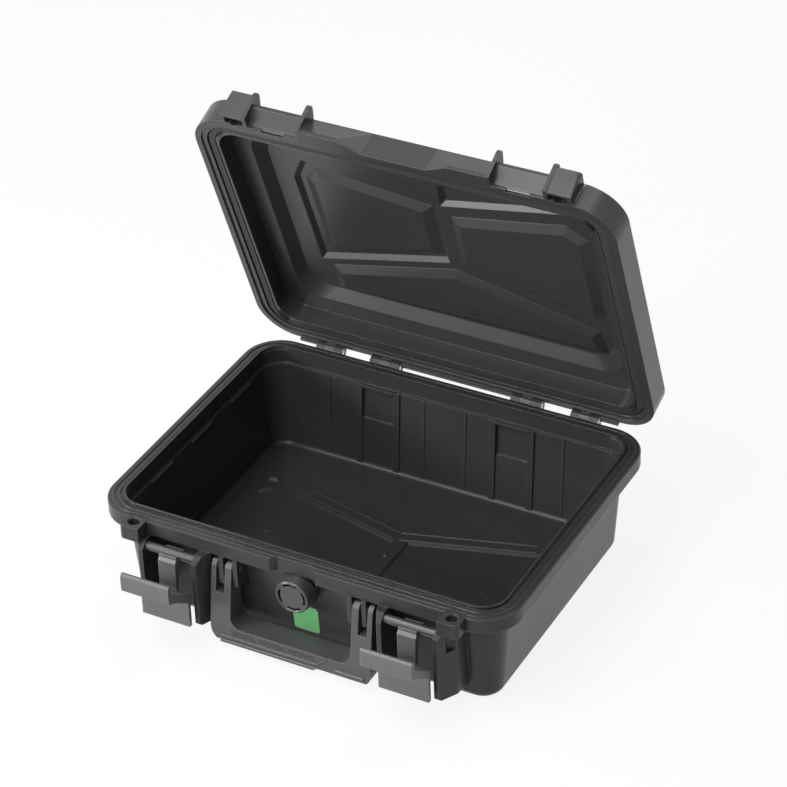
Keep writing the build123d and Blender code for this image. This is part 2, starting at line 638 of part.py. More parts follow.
def lid_hollow():
    """Space inside the lid."""
    inset_x = LID_INNER_WALL_INSET + LID_OVERHANG_X
    inset_y = LID_INNER_WALL_INSET + LID_OVERHANG_Y
    corner = RIM_OPENING_CORNER - 2
    hollow = slab(LID_WIDTH - 2 * inset_x, LID_DEPTH - 2 * inset_y, corner, LID_BOTTOM - 1, LID_INNER_WALL_TOP)
    crown = (LID_CROWN_INSET_X + 1, LID_CROWN_INSET_Y + 1)
    ceiling = LID_CROWN_TOP - LID_WALL
    hollow += lid_slope((inset_x, inset_y), corner, LID_INNER_WALL_TOP, crown, ceiling)
    for points in lid_recess_outlines():
        hollow += tapered_field(points, ceiling, ceiling + LID_RECESS_DEPTH, LID_RECESS_SLOPE)
    for points in lid_plateau_outlines():
        hollow -= tapered_field(points, ceiling, ceiling - LID_PLATEAU_RISE, LID_PLATEAU_SLOPE)
    return hollow


def lid_groove():
    """Stepped groove over the rim: relief over the ridges, then the seal groove."""
    seal_top = RIM_TOP + SEAL_LIP_HEIGHT + SEAL_LIP_CLEARANCE + SEAL_HEIGHT
    groove = ring(LID_GROOVE_INSET, LID_GROOVE_WIDTH, LID_BOTTOM - 1, seal_top)
    relief = ring(LID_STEP_INSET, LID_GROOVE_INSET - LID_STEP_INSET + 1, LID_BOTTOM - 1, LID_BOTTOM + LID_STEP_HEIGHT)
    wall_relief_top = RIM_TOP + SEAL_LIP_HEIGHT + 0.6
    wall_relief = ring(LID_GROOVE_INSET + LID_GROOVE_WIDTH - 1, 6, LID_BOTTOM - 1, wall_relief_top)
    return groove + relief + wall_relief


def lid_channel_rib(low, high):
    """Rib along one side of the latch channel."""
    face = LID_FRONT
    return side_prism(
        [(face + 1, LID_BOTTOM), (RIB_FOOT, LID_BOTTOM), (RIB_FRONT, RIB_SHOULDER), (RIB_FRONT, RIB_TOP - 2.5),
         (RIB_FRONT + 1.2, RIB_TOP - 0.6), (RIB_FRONT + 3.6, RIB_TOP), (face + 1, LID_SKIRT_TOP + 0.8),
         (face + 3, LID_SKIRT_TOP - 0.6)],
        low, high,
    )


def lid_catch():
    """Catch in the latch channel that leans forward under the lip of the shut lever."""
    face = LID_FRONT
    top = LATCH_BAR_Z + LATCH_BAR_Y - (LIP_FRONT + LIP_THICKNESS) - CATCH_GAP
    tip_y = LATCH_BAR_Y + (LIP_TOP - LATCH_BAR_Z)
    front = tip_y - CATCH_OVERLAP
    return side_prism(
        [(face + 1, CATCH_START - 2), (face, CATCH_START), (front, top - CATCH_NOSE), (front, top), (face + 1, top)],
        CHANNEL_INNER, CHANNEL_OUTER,
    )


def padlock_box():
    """Box over the padlock eye, leaning forward toward the crown."""
    face = LID_FRONT
    box = side_prism(
        [(face + 1, LID_BOTTOM), (PADLOCK_BOX_FOOT, LID_BOTTOM), (PADLOCK_BOX_FRONT, PADLOCK_BOX_SHOULDER),
         (PADLOCK_BOX_FRONT + 1, PADLOCK_BOX_TOP - 0.5), (PADLOCK_BOX_FRONT + 3.2, PADLOCK_BOX_TOP),
         (face + 1, LID_SKIRT_TOP - 0.2)],
        CHANNEL_OUTER, PADLOCK_BOX_OUTER,
    )
    rounding = PADLOCK_BOX_ROUNDING
    plan = plan_prism(
        [(CHANNEL_OUTER, face + 1), (CHANNEL_OUTER, PADLOCK_BOX_FRONT), (PADLOCK_BOX_OUTER - rounding, PADLOCK_BOX_FRONT),
         (PADLOCK_BOX_OUTER - rounding / 3, PADLOCK_BOX_FRONT + rounding / 3),
         (PADLOCK_BOX_OUTER, PADLOCK_BOX_FRONT + rounding), (PADLOCK_BOX_OUTER, face + 1)],
        LID_BOTTOM, PADLOCK_BOX_TOP,
    )
    return box & plan


def padlock_hollow():
    """Hollow of the padlock box and the hole through it for a shackle."""
    face = LID_FRONT
    wall = PADLOCK_BOX_WALL
    hollow = side_prism(
        [(face - 0.3, LID_BOTTOM - 1), (PADLOCK_BOX_FOOT + wall, LID_BOTTOM - 1), (PADLOCK_BOX_FOOT + wall, LID_BOTTOM),
         (PADLOCK_BOX_FRONT + wall, PADLOCK_HOLLOW_TOP), (face - 0.3, PADLOCK_HOLLOW_TOP)],
        CHANNEL_OUTER + RIB_THICKNESS, PADLOCK_BOX_OUTER - PADLOCK_BOX_ROUNDING,
    )
    return hollow + rod_z(EYE_RADIUS, EYE_X, EYE_Y, LID_BOTTOM - 1, LID_SKIRT_TOP + 4)


def lid_brow():
    """Forward part of the lid's front skirt beside its middle."""
    face = LID_FRONT
    end = CHANNEL_INNER - RIB_THICKNESS / 2
    plan = plan_prism(
        [(BROW_INNER, face + 1), (BROW_INNER, face), (BROW_SHOULDER, BROW_FRONT), (end, BROW_FRONT), (end, face + 1)],
        LID_BOTTOM, LID_SKIRT_TOP,
    )
    profile = side_prism(
        [(face + 1, LID_BOTTOM), (BROW_FRONT, LID_BOTTOM), (BROW_FRONT, LID_BOTTOM + BROW_FACE),
         (face - 0.2, LID_SKIRT_TOP - 1), (face + 1, LID_SKIRT_TOP - 1)],
        BROW_INNER, end,
    )
    return plan & profile


def lid_knuckles():
    """Knuckles on the back of the lid's skirt."""
    face = LID_BACK
    shapes = []
    for low, high in hinge_spans()[1]:
        shapes.append(rod_x(KNUCKLE_RADIUS, low, high, HINGE_Y, HINGE_Z))
        web = [(face - 1, LID_BOTTOM + 0.2), (HINGE_Y - 3.0, HINGE_Z + 1), (HINGE_Y + 4.6, HINGE_Z + 2),
               (HINGE_Y + 2, HINGE_Z + 13), (face - 1, HINGE_Z + 17)]
        shapes.append(side_prism(web, low, high))
    return Part() + shapes


def lid_back_lips():
    """Lips that close the gap behind the rim beside the hinges."""
    outline = [(BACK_LIP_FRONT, BACK_LIP_BOTTOM), (BACK_LIP_BACK, BACK_LIP_BOTTOM), (BACK_LIP_BACK, BACK_LIP_TOP - BACK_LIP_SLOPE),
               (BACK_LIP_FRONT + 0.3, BACK_LIP_TOP), (BACK_LIP_FRONT, BACK_LIP_TOP)]
    return Part() + [side_prism(outline, low, high) for low, high in BACK_LIP_SPANS]


def lid_shell_shut():
    """The moulded lid in its shut place."""
    shell = lid_dome() - lid_hollow() - lid_groove()
    notch = block(
        LATCH_X - NOTCH_HALF_WIDTH, LATCH_X + NOTCH_HALF_WIDTH,
        LID_FRONT - 1, LID_FRONT + 2.2, LID_BOTTOM - 1, LID_BOTTOM + NOTCH_HEIGHT,
    )
    shell -= both(notch)
    inner_rib = lid_channel_rib(CHANNEL_INNER - RIB_THICKNESS, CHANNEL_INNER)
    outer_rib = lid_channel_rib(CHANNEL_OUTER, CHANNEL_OUTER + RIB_THICKNESS)
    shell += both(inner_rib + outer_rib + padlock_box() + lid_brow() + lid_catch())
    shell -= both(padlock_hollow())
    shell -= both(hinge_relief(hinge_spans()[0]))
    shell += both(lid_knuckles())
    shell += lid_back_lips()
    return shell - both(Part() + hinge_bores(HINGE_PIN_RADIUS + PIN_CLEARANCE))


def lid_seal_shut():
    """Seal ring in its groove."""
    low = RIM_TOP + SEAL_LIP_HEIGHT + SEAL_LIP_CLEARANCE
    return ring(SEAL_INSET, SEAL_WIDTH, low, low + SEAL_HEIGHT)


def opened(piece):
    """The piece turned with the lid into the open position."""
    return piece.rotate(Axis((0, HINGE_Y, HINGE_Z), (1, 0, 0)), -OPEN_ANGLE)


def latch_bar():
    """Right-hand latch bar."""
    low = CHANNEL_INNER - LATCH_BAR_SOCKET
    high = CHANNEL_OUTER + LATCH_BAR_SOCKET
    return rod_x(LATCH_BAR_RADIUS, low, high, LATCH_BAR_Y, LATCH_BAR_Z)


def bar_point(offset):
    """Point of a side profile in front of and above the latch bar."""
    return LATCH_BAR_Y - offset[0], LATCH_BAR_Z + offset[1]


def claw_and_finger():
    """Snap claw around the right-hand bar and the bent finger below it."""
    low = LATCH_X - CLAW_WIDTH / 2
    high = LATCH_X + CLAW_WIDTH / 2
    bore = LATCH_BAR_RADIUS + PIN_CLEARANCE
    claw = rod_x(bore + CLAW_THICKNESS, low, high, LATCH_BAR_Y, LATCH_BAR_Z)
    reach = CLAW_MOUTH_REACH
    mouth = [(LATCH_BAR_Y, LATCH_BAR_Z)]
    wrapped_end = CLAW_END - FULL_TURN
    for angle in (CLAW_START, (CLAW_START + wrapped_end) / 2, wrapped_end):
        mouth.append((LATCH_BAR_Y - reach * cos(radians(angle)), LATCH_BAR_Z + reach * sin(radians(angle))))
    claw -= side_prism(mouth, low, high)
    crest, bend, knee, root = [bar_point(offset) for offset in (FINGER_CREST, FINGER_BEND, FINGER_KNEE, FINGER_ROOT)]
    back = FINGER_THICKNESS
    finger = side_prism(
        [crest, bend, knee,
         (PLATE_FRONT + 1, ARM_ROOT_Z - 4), (PLATE_FRONT + PLATE_THICKNESS, ARM_ROOT_Z - 7),
         (knee[0] + back, knee[1] - 1), (bend[0] + back, bend[1] - FINGER_BACK_STEP), root],
        low, high,
    )
    return claw + finger - rod_x(bore, low, high, LATCH_BAR_Y, LATCH_BAR_Z)


def arm_point(along, above):
    """Point of the lever profile, measured along the arm's underside and above it."""
    slope = radians(ARM_SLOPE)
    forward = along * cos(slope) - above * sin(slope)
    up = along * sin(slope) + above * cos(slope)
    return PLATE_FRONT - forward, ARM_ROOT_Z + up


def latch_lever():
    """Right-hand lever."""
    low = CHANNEL_INNER + LEVER_SIDE_GAP
    high = CHANNEL_OUTER - LEVER_SIDE_GAP
    plate_back = PLATE_FRONT + PLATE_THICKNESS
    profile = side_prism(
        [(plate_back, PLATE_BOTTOM), (PLATE_FRONT, PLATE_BOTTOM), (PLATE_FRONT, ARM_ROOT_Z),
         arm_point(ARM_REACH - 8, 0.6), arm_point(ARM_REACH, -0.6),
         (LIP_FRONT, LIP_TOP - 10), (LIP_FRONT, LIP_TOP - 4), (LIP_FRONT + 0.7, LIP_TOP - 1), (LIP_FRONT + 2, LIP_TOP),
         (LIP_FRONT + LIP_THICKNESS - 0.8, LIP_TOP - 0.4), (LIP_FRONT + LIP_THICKNESS, LIP_TOP - 2),
         (LIP_FRONT + LIP_THICKNESS, LIP_TOP - 7), arm_point(ARM_REACH - 8, ARM_THICKNESS),
         arm_point(-3, ARM_THICKNESS), (plate_back + 1.6, ARM_ROOT_Z - 1), (plate_back, ARM_ROOT_Z - 5)],
        low, high,
    )
    return profile + claw_and_finger()


def handle_profile():
    """Side profile of the handle over its full width."""
    back_ear = HANDLE_PIVOT_Y + HANDLE_EAR_RADIUS
    return side_prism(
        [(HANDLE_PIVOT_Y - HANDLE_EAR_RADIUS, HANDLE_PIVOT_Z),
         (HANDLE_FRONT_TOP, HANDLE_PIVOT_Z - HANDLE_FRONT_SHOULDER),
         (HANDLE_FRONT_BOTTOM, HANDLE_GRIP_TOP), (HANDLE_FRONT_BOTTOM + 0.4, HANDLE_BOTTOM + HANDLE_HEEL),
         (HANDLE_FRONT_BOTTOM + HANDLE_TOE, HANDLE_BOTTOM), (HANDLE_BACK - HANDLE_HEEL, HANDLE_BOTTOM),
         (HANDLE_BACK, HANDLE_BOTTOM + HANDLE_HEEL), (HANDLE_BACK, HANDLE_PIVOT_Z - HANDLE_BACK_SHOULDER),
         (back_ear, HANDLE_PIVOT_Z)],
        -HANDLE_LEG_OUTER, HANDLE_LEG_OUTER,
    )


def handle():
    """Carry handle with forked legs."""
    bail = handle_profile()
    bail += rod_x(HANDLE_EAR_RADIUS, -HANDLE_LEG_OUTER, HANDLE_LEG_OUTER, HANDLE_PIVOT_Y, HANDLE_PIVOT_Z)
    top = HANDLE_PIVOT_Z + HANDLE_EAR_RADIUS
    outline = Pos(0, (HANDLE_BOTTOM + top) / 2) * Rectangle(2 * HANDLE_LEG_OUTER, top - HANDLE_BOTTOM)
    outline = fillet(outline.vertices().sort_by(Axis.Y)[:2], HANDLE_CORNER)
    gap_top = top + 10
    gap = Pos(0, (HANDLE_GRIP_TOP + gap_top) / 2) * Rectangle(2 * HANDLE_LEG_INNER, gap_top - HANDLE_GRIP_TOP)
    gap = fillet(gap.vertices().sort_by(Axis.Y)[:2], HANDLE_OPENING_CORNER)
    thickness = HANDLE_BACK - HANDLE_FRONT_BOTTOM
    behind = Plane.XZ.offset(-HANDLE_BACK - thickness)
    bail &= extrude(behind * outline, 3 * thickness)
    bail -= extrude(behind * gap, 3 * thickness)
    half = LUG_THICKNESS / 2 + HANDLE_SLOT_GAP
    x = LUG_X[1]
    front = HANDLE_FRONT_BOTTOM - HANDLE_SLOT_CUT
    back = HANDLE_BACK + HANDLE_SLOT_CUT
    bail -= both(block(x - half, x + half, front, back, HANDLE_SLOT_BOTTOM, gap_top))
    pin = rod_x(HANDLE_PIN_RADIUS + PIN_CLEARANCE, LUG_X[0], HANDLE_LEG_OUTER - 1.5, HANDLE_PIVOT_Y, HANDLE_PIVOT_Z)
    return bail - both(pin)


def handle_pin():
    """Right-hand handle pin."""
    low = LUG_X[0] - LUG_THICKNESS / 2
    return rod_x(HANDLE_PIN_RADIUS, low, HANDLE_LEG_OUTER - 1.6, HANDLE_PIVOT_Y, HANDLE_PIVOT_Z)


def valve_seal_ring():
    """Ring between the valve flange and its boss."""
    front = VALVE_BOSS_FRONT - VALVE_SEAL_THICKNESS
    disc = rod_y(VALVE_SEAL_OUTER, front, VALVE_BOSS_FRONT, 0, VALVE_Z)
    return disc - rod_y(VALVE_STUB_RADIUS + 0.1, front, VALVE_BOSS_FRONT, 0, VALVE_Z)


def valve_flange_front():
    """Front face of the valve body."""
    return VALVE_BOSS_FRONT - VALVE_SEAL_THICKNESS - VALVE_FLANGE_THICKNESS


def valve_body():
    """Flanged stub through the wall, with a seat for the membrane."""
    front = valve_flange_front()
    back = front + VALVE_FLANGE_THICKNESS
    end = VALVE_PAD_BACK + VALVE_NUT_THICKNESS + VALVE_STUB_REACH
    body = rod_y(VALVE_FLANGE_RADIUS - VALVE_CAP_WALL, front, back, 0, VALVE_Z)
    body += rod_y(VALVE_STUB_RADIUS, back, end, 0, VALVE_Z)
    body -= rod_y(VALVE_BORE_RADIUS, front, end, 0, VALVE_Z)
    return body - rod_y(MEMBRANE_RADIUS, front, front + MEMBRANE_THICKNESS, 0, VALVE_Z)


def valve_membrane():
    """Breathing disc on the valve body."""
    front = valve_flange_front()
    return rod_y(MEMBRANE_RADIUS, front, front + MEMBRANE_THICKNESS, 0, VALVE_Z)


def valve_lock_nut():
    """Hexagonal nut on the inner end of the valve body."""
    end = VALVE_PAD_BACK + VALVE_NUT_THICKNESS
    hexagon = Plane.XZ.offset(-end) * Pos(0, VALVE_Z) * RegularPolygon(VALVE_NUT_RADIUS, 6)
    nut = extrude(hexagon, VALVE_NUT_THICKNESS)
    return nut - rod_y(VALVE_STUB_RADIUS + PIN_CLEARANCE, VALVE_PAD_BACK, end, 0, VALVE_Z)


def valve_cap():
    """Tapered round cap with a raised rim and four arc slots."""
    back = VALVE_BOSS_FRONT - VALVE_SEAL_THICKNESS
    wide = Plane.XZ.offset(-back) * Pos(0, VALVE_Z) * Circle(VALVE_CAP_RADIUS)
    narrow = Plane.XZ.offset(-VALVE_CAP_FRONT) * Pos(0, VALVE_Z) * Circle(VALVE_CAP_FACE_RADIUS)
    cap = loft([wide, narrow])
    rim_edge = cap.faces().sort_by(Axis.Y)[0].edges()
    cap = chamfer(rim_edge, 0.7)
    face_back = VALVE_CAP_FRONT + VALVE_CAP_RECESS
    cap -= rod_y(VALVE_CAP_FACE_RADIUS - VALVE_CAP_RIM, VALVE_CAP_FRONT, face_back, 0, VALVE_Z)
    inside = VALVE_FLANGE_RADIUS - VALVE_CAP_WALL + PIN_CLEARANCE
    cap -= rod_y(inside, VALVE_CAP_FRONT + VALVE_CAP_WALL, back, 0, VALVE_Z)
    slot_ring = rod_y(CAP_SLOT_OUTER, VALVE_CAP_FRONT - 1, VALVE_CAP_FRONT + 3, 0, VALVE_Z)
    slot_ring -= rod_y(CAP_SLOT_INNER, VALVE_CAP_FRONT - 1, VALVE_CAP_FRONT + 3, 0, VALVE_Z)
    half = radians(CAP_SLOT_ANGLE / 2)
    reach = 2 * CAP_SLOT_OUTER
    for quarter in range(4):
        middle = radians(90 * quarter + 8)
        wedge = make_face(Polyline(
            (0, VALVE_Z),
            (reach * cos(middle - half), VALVE_Z + reach * sin(middle - half)),
            (reach * cos(middle + half), VALVE_Z + reach * sin(middle + half)),
            close=True,
        ))
        cap -= slot_ring & extrude(Plane.XZ.offset(-back) * wedge, 40)
    return cap


def front_label():
    """Small plain label on the front wall."""
    outline = [
        (wall_y(LABEL_BOTTOM), LABEL_BOTTOM), (wall_y(LABEL_TOP), LABEL_TOP),
        (wall_y(LABEL_TOP) - LABEL_THICKNESS, LABEL_TOP), (wall_y(LABEL_BOTTOM) - LABEL_THICKNESS, LABEL_BOTTOM),
    ]
    label = side_prism(outline, -LABEL_WIDTH / 2, LABEL_WIDTH / 2)
    return label


def sided(name, piece):
    """Right and left copies of a piece, by node name."""
    return {f"{name}_right": piece, f"{name}_left": mirror(piece, about=Plane.YZ)}


def nodes():
    """All pieces by node name."""
    pieces = {
        "base_shell": base_shell(),
        "lid_shell": opened(lid_shell_shut()),
        "lid_seal": opened(lid_seal_shut()),
        "handle": handle(),
        "valve_seal_ring": valve_seal_ring(),
        "valve_body": valve_body(),
        "valve_membrane": valve_membrane(),
        "valve_cap": valve_cap(),
        "valve_lock_nut": valve_lock_nut(),
        "front_label": front_label(),
    }
    inner_pin, outer_pin = hinge_bores(HINGE_PIN_RADIUS)
    pieces.update(sided("hinge_pin_inner", inner_pin))
    pieces.update(sided("hinge_pin_outer", outer_pin))
    pieces.update(sided("handle_pin", handle_pin()))
    pieces.update(sided("padlock_eye", padlock_eye()))
    pieces.update(sided("latch_bar", latch_bar()))
    pieces.update(sided("latch_lever", latch_lever()))
    return pieces


os.makedirs("parts", exist_ok=True)
for name, piece in nodes().items():
    export_step(piece, f"parts/{name}.step")
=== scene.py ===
"""Finishes, small moulded details, light and camera for the protective case with its lid open.

Everything is in the frame of the CAD model. Outlines and heights of the details are in mm, while the
lights and the camera are placed in metres.
"""

from math import atan, cos, hypot, radians, sin

import bmesh
import bpy
from mathutils import Matrix, Vector


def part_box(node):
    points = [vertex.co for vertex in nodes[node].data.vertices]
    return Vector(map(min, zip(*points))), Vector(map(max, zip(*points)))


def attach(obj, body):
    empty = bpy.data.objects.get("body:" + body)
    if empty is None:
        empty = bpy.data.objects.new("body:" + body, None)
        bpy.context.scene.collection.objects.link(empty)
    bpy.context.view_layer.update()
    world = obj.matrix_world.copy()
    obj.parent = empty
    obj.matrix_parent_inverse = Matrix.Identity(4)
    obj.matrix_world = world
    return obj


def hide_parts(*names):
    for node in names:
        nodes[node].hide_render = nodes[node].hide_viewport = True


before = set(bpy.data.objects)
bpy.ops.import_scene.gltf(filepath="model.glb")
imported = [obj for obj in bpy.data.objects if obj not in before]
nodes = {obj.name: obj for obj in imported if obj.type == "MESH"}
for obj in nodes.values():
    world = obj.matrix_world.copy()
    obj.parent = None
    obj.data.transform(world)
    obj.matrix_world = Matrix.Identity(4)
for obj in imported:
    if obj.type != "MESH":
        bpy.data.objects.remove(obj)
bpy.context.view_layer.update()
MM = 0.001

# Sockets of the Mix node when it mixes colours.
MIX_AMOUNT = 0
MIX_FIRST = 6
MIX_SECOND = 7
MIX_RESULT = 2
BEVEL_SAMPLES = 4


class Signal:
    """One value of a shader, with arithmetic that adds Math nodes."""

    def __init__(self, paint, socket):
        self.paint = paint
        self.socket = socket

    def _math(self, operation, first, second):
        return self.paint.add("ShaderNodeMath", {"operation": operation}, {0: first, 1: second})

    def __add__(self, other):
        return self._math("ADD", self, other)

    __radd__ = __add__

    def __mul__(self, other):
        return self._math("MULTIPLY", self, other)

    __rmul__ = __mul__

    def __sub__(self, other):
        return self._math("SUBTRACT", self, other)

    def __rsub__(self, other):
        return self._math("SUBTRACT", other, self)

    def least(self, other):
        return self._math("MINIMUM", self, other)


class Paint:
    """A material under construction."""

    def __init__(self, name):
        self.material = bpy.data.materials.new(name)
        self.material.use_nodes = True
        self.tree = self.material.node_tree
        self.tree.nodes.clear()
        self.place = self.add("ShaderNodeTexCoord", out="Object")

    def node(self, kind, settings=None, inputs=None):
        """Any node, with its settings and then the values or links of its sockets."""
        made = self.tree.nodes.new(kind)
        for name, value in (settings or {}).items():
            setattr(made, name, value)
        for name, value in (inputs or {}).items():
            socket = made.inputs[name]
            if isinstance(value, Signal):
                self.tree.links.new(value.socket, socket)
            else:
                socket.default_value = value
        return made

    def add(self, kind, settings=None, inputs=None, out=0):
        """The node's output as a signal."""
        return Signal(self, self.node(kind, settings, inputs).outputs[out])

    def noise(self, scale, detail=2.0, roughness=0.5, where=None):
        """Noise from 0 to 1 whose patches are about one part in scale of a metre."""
        inputs = {"Vector": where or self.place, "Scale": scale, "Detail": detail, "Roughness": roughness}
        return self.add("ShaderNodeTexNoise", {}, inputs)

    def ramp(self, value, low, high):
        """0 below low, 1 above high and smooth between them."""
        inputs = {"Value": value, "From Min": low, "From Max": high, "To Min": 0.0, "To Max": 1.0}
        return self.add("ShaderNodeMapRange", {"interpolation_type": "SMOOTHSTEP"}, inputs)

    def stretched(self, x, y, z):
        """Object coordinates with each axis scaled."""
        return self.add("ShaderNodeMapping", {}, {"Vector": self.place, "Scale": (x, y, z)})

    def blend(self, amount, first, second):
        """Colour that goes from first to second."""
        inputs = {MIX_AMOUNT: amount, MIX_FIRST: first, MIX_SECOND: second}
        return self.add("ShaderNodeMix", {"data_type": "RGBA"}, inputs, out=MIX_RESULT)

    def soft_edge(self, radius):
        """Normal that is rounded near edges, and how near an edge each place is."""
        rounded = self.add("ShaderNodeBevel", {"samples": BEVEL_SAMPLES}, {"Radius": radius})
        true_normal = self.add("ShaderNodeNewGeometry", out="True Normal")
        dot, pair = {"operation": "DOT_PRODUCT"}, {0: rounded, 1: true_normal}
        return rounded, 1 - self.add("ShaderNodeVectorMath", dot, pair, out="Value")

    def finish(self, inputs, constants):
        """The surface shader and the output."""
        shader = self.node("ShaderNodeBsdfPrincipled", {}, {**constants, **inputs})
        output = self.node("ShaderNodeOutputMaterial")
        self.tree.links.new(shader.outputs[0], output.inputs["Surface"])
        return self.material


def grey(tone, tint=1.0):
    """A near neutral colour."""
    return (tone, tone, tone * tint, 1.0)


EDGE_ROUNDING = 0.9 * MM
GRAIN_SCALE = 3200.0
PIT_SCALE = 1500.0
MOTTLING_SCALE = 14.0
GRAIN_HEIGHT = 0.06 * MM
EDGE_COAT = {"Coat Roughness": 0.14, "Coat IOR": 1.6}


def moulded_plastic(name, tone, gloss, grain, specular=0.5):
    """Black moulded plastic: spark grain, flow mottling, faint scuffs and glossy edges, with a painted
    highlight that makes the colour slightly paler along every edge.
    """
    paint = Paint(name)
    rounded, edge = paint.soft_edge(EDGE_ROUNDING)
    edge = paint.ramp(edge, 0.015, 0.2)
    fine = paint.noise(GRAIN_SCALE, 2.0, 0.6)
    cells = {"Vector": paint.place, "Scale": PIT_SCALE}
    pits = paint.add("ShaderNodeTexVoronoi", {}, cells, out="Distance")
    mottling = paint.noise(MOTTLING_SCALE, 3.0, 0.6)
    flow = paint.noise(1.0, 4.0, 0.6, paint.stretched(9.0, 30.0, 22.0))
    scuff = paint.ramp(paint.noise(1.0, 3.0, 0.7, paint.stretched(700.0, 60.0, 60.0)), 0.66, 0.74)
    scuff = scuff * paint.ramp(paint.noise(22.0), 0.5, 0.7)
    shade = paint.blend(mottling, grey(tone * 0.88, 1.03), grey(tone * 1.14, 1.02))
    shade = paint.blend(fine * 0.16, shade, grey(tone * 2.2, 1.0))
    # Painted highlight: the colour goes paler near every edge to stand in for the bright reflections on
    # rounded edges. The scuffs add a little real wear to the same paling.
    shade = paint.blend(edge * 0.5 + scuff * 0.06, shade, grey(tone * 3.2, 1.0))
    rough = flow * 0.1 + mottling * 0.07 + (gloss - 0.09) - edge * 0.1 - scuff * 0.05
    height = fine * 0.55 + pits * 0.45 - scuff * 0.2
    relief = {"Strength": grain, "Distance": GRAIN_HEIGHT, "Height": height, "Normal": rounded}
    bump = paint.add("ShaderNodeBump", {}, relief)
    inputs = {"Base Color": shade, "Roughness": rough, "Normal": bump, "Coat Weight": edge}
    return paint.finish(inputs, {"Specular IOR Level": specular, **EDGE_COAT})


def soft_rubber(name):
    """Black seal rubber with a dusty bloom."""
    paint = Paint(name)
    bloom = paint.noise(60.0, 4.0, 0.6)
    fine = paint.noise(2600.0, 2.0, 0.5)
    shade = paint.blend(bloom, grey(0.012), grey(0.028, 1.02))
    bump = paint.add("ShaderNodeBump", {}, {"Strength": 0.25, "Distance": 0.05 * MM, "Height": fine})
    return paint.finish({"Base Color": shade, "Roughness": bloom * 0.2 + 0.55, "Normal": bump}, {})


def drawn_steel(name):
    """Drawn pin steel with lines along X."""
    paint = Paint(name)
    lines = paint.noise(1.0, 3.0, 0.6, paint.stretched(60.0, 5200.0, 5200.0))
    stain = paint.noise(90.0, 3.0, 0.6)
    shade = paint.blend(stain * 0.6 + lines * 0.3, grey(0.34, 1.02), grey(0.56, 1.01))
    bump = paint.add("ShaderNodeBump", {}, {"Strength": 0.3, "Distance": 0.03 * MM, "Height": lines})
    inputs = {"Base Color": shade, "Roughness": lines * 0.2 + 0.22, "Normal": bump}
    return paint.finish(inputs, {"Metallic": 1.0})


def breathing_film(name):
    """White porous film with a fine weave."""
    paint = Paint(name)
    across = paint.add("ShaderNodeTexWave", {}, {"Vector": paint.place, "Scale": 900.0, "Distortion": 1.0})
    cloud = paint.noise(300.0, 3.0, 0.6)
    shade = paint.blend(across * 0.6 + cloud * 0.4, grey(0.55), grey(0.8, 0.98))
    bump = paint.add("ShaderNodeBump", {}, {"Strength": 0.4, "Distance": 0.05 * MM, "Height": across})
    return paint.finish({"Base Color": shade, "Roughness": cloud * 0.1 + 0.7, "Normal": bump}, {})


def green_sticker(name):
    """Printed green film with a slightly worn edge."""
    paint = Paint(name)
    low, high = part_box("front_label")
    parts = paint.node("ShaderNodeSeparateXYZ", {}, {"Vector": paint.place})
    x, z = Signal(paint, parts.outputs["X"]), Signal(paint, parts.outputs["Z"])
    border = (x - low.x).least(high.x - x).least((z - low.z).least(high.z - z))
    worn = 1 - paint.ramp(border + paint.noise(500.0, 3.0, 0.6) * 0.5 * MM, 0.15 * MM, 0.75 * MM)
    ink = paint.noise(420.0, 4.0, 0.7)
    shade = paint.blend(ink, (0.09, 0.33, 0.115, 1.0), (0.125, 0.41, 0.155, 1.0))
    shade = paint.blend(worn * 0.7, shade, (0.5, 0.62, 0.5, 1.0))
    bump = paint.add("ShaderNodeBump", {}, {"Strength": 0.12, "Distance": 0.04 * MM, "Height": ink})
    return paint.finish({"Base Color": shade, "Roughness": ink * 0.12 + 0.34, "Normal": bump}, {})


def finish_nodes():
    """A finish for each CAD node."""
    shell = moulded_plastic("shell_plastic", tone=0.027, gloss=0.28, grain=0.22, specular=0.25)
    finishes = {
        "base_shell": shell,
        "lid_shell": moulded_plastic("lid_plastic", tone=0.027, gloss=0.29, grain=0.2, specular=0.42),
        "padlock_eye": shell,
        "handle": moulded_plastic("handle_plastic", tone=0.043, gloss=0.46, grain=0.42),
        # Painted light: the latch plastic is made about three times lighter than the shell's to stand in
        # for the light falling on the levers' lips and arms.
        "latch_lever": moulded_plastic("latch_plastic", tone=0.078, gloss=0.42, grain=0.38),
        "latch_bar": moulded_plastic("bar_plastic", tone=0.04, gloss=0.27, grain=0.12),
        "valve": moulded_plastic("valve_plastic", tone=0.036, gloss=0.34, grain=0.25),
        "valve_membrane": breathing_film("breathing_film"),
        "valve_seal_ring": soft_rubber("valve_rubber"),
        "lid_seal": soft_rubber("seal_rubber"),
        "hinge_pin": drawn_steel("pin_steel"),
        "handle_pin": drawn_steel("handle_pin_steel"),
        "front_label": green_sticker("sticker_film"),
    }
    for name, node in nodes.items():
        best = max((key for key in finishes if name.startswith(key)), key=len)
        node.data.materials.clear()
        node.data.materials.append(finishes[best])
    return finishes


HINGE = Vector((0.0, 130.8, 85.3)) * MM
LID_ANGLE = radians(-69.4)
# Takes a place in the shut lid to where it is as photographed.
AS_OPENED = Matrix.Translation(HINGE) @ Matrix.Rotation(LID_ANGLE, 4, "X") @ Matrix.Translation(-HINGE)
FLOOR_LEVEL = Matrix.Identity(4)
# Share of a plate's height that stands straight before its sloping edge.
STEP_SHARE = 0.1


def upright(y):
    """Place of a plate drawn in X and Z that faces the front at the given depth."""
    return Matrix.Translation((0.0, y * MM, 0.0)) @ Matrix.Rotation(radians(90.0), 4, "X")


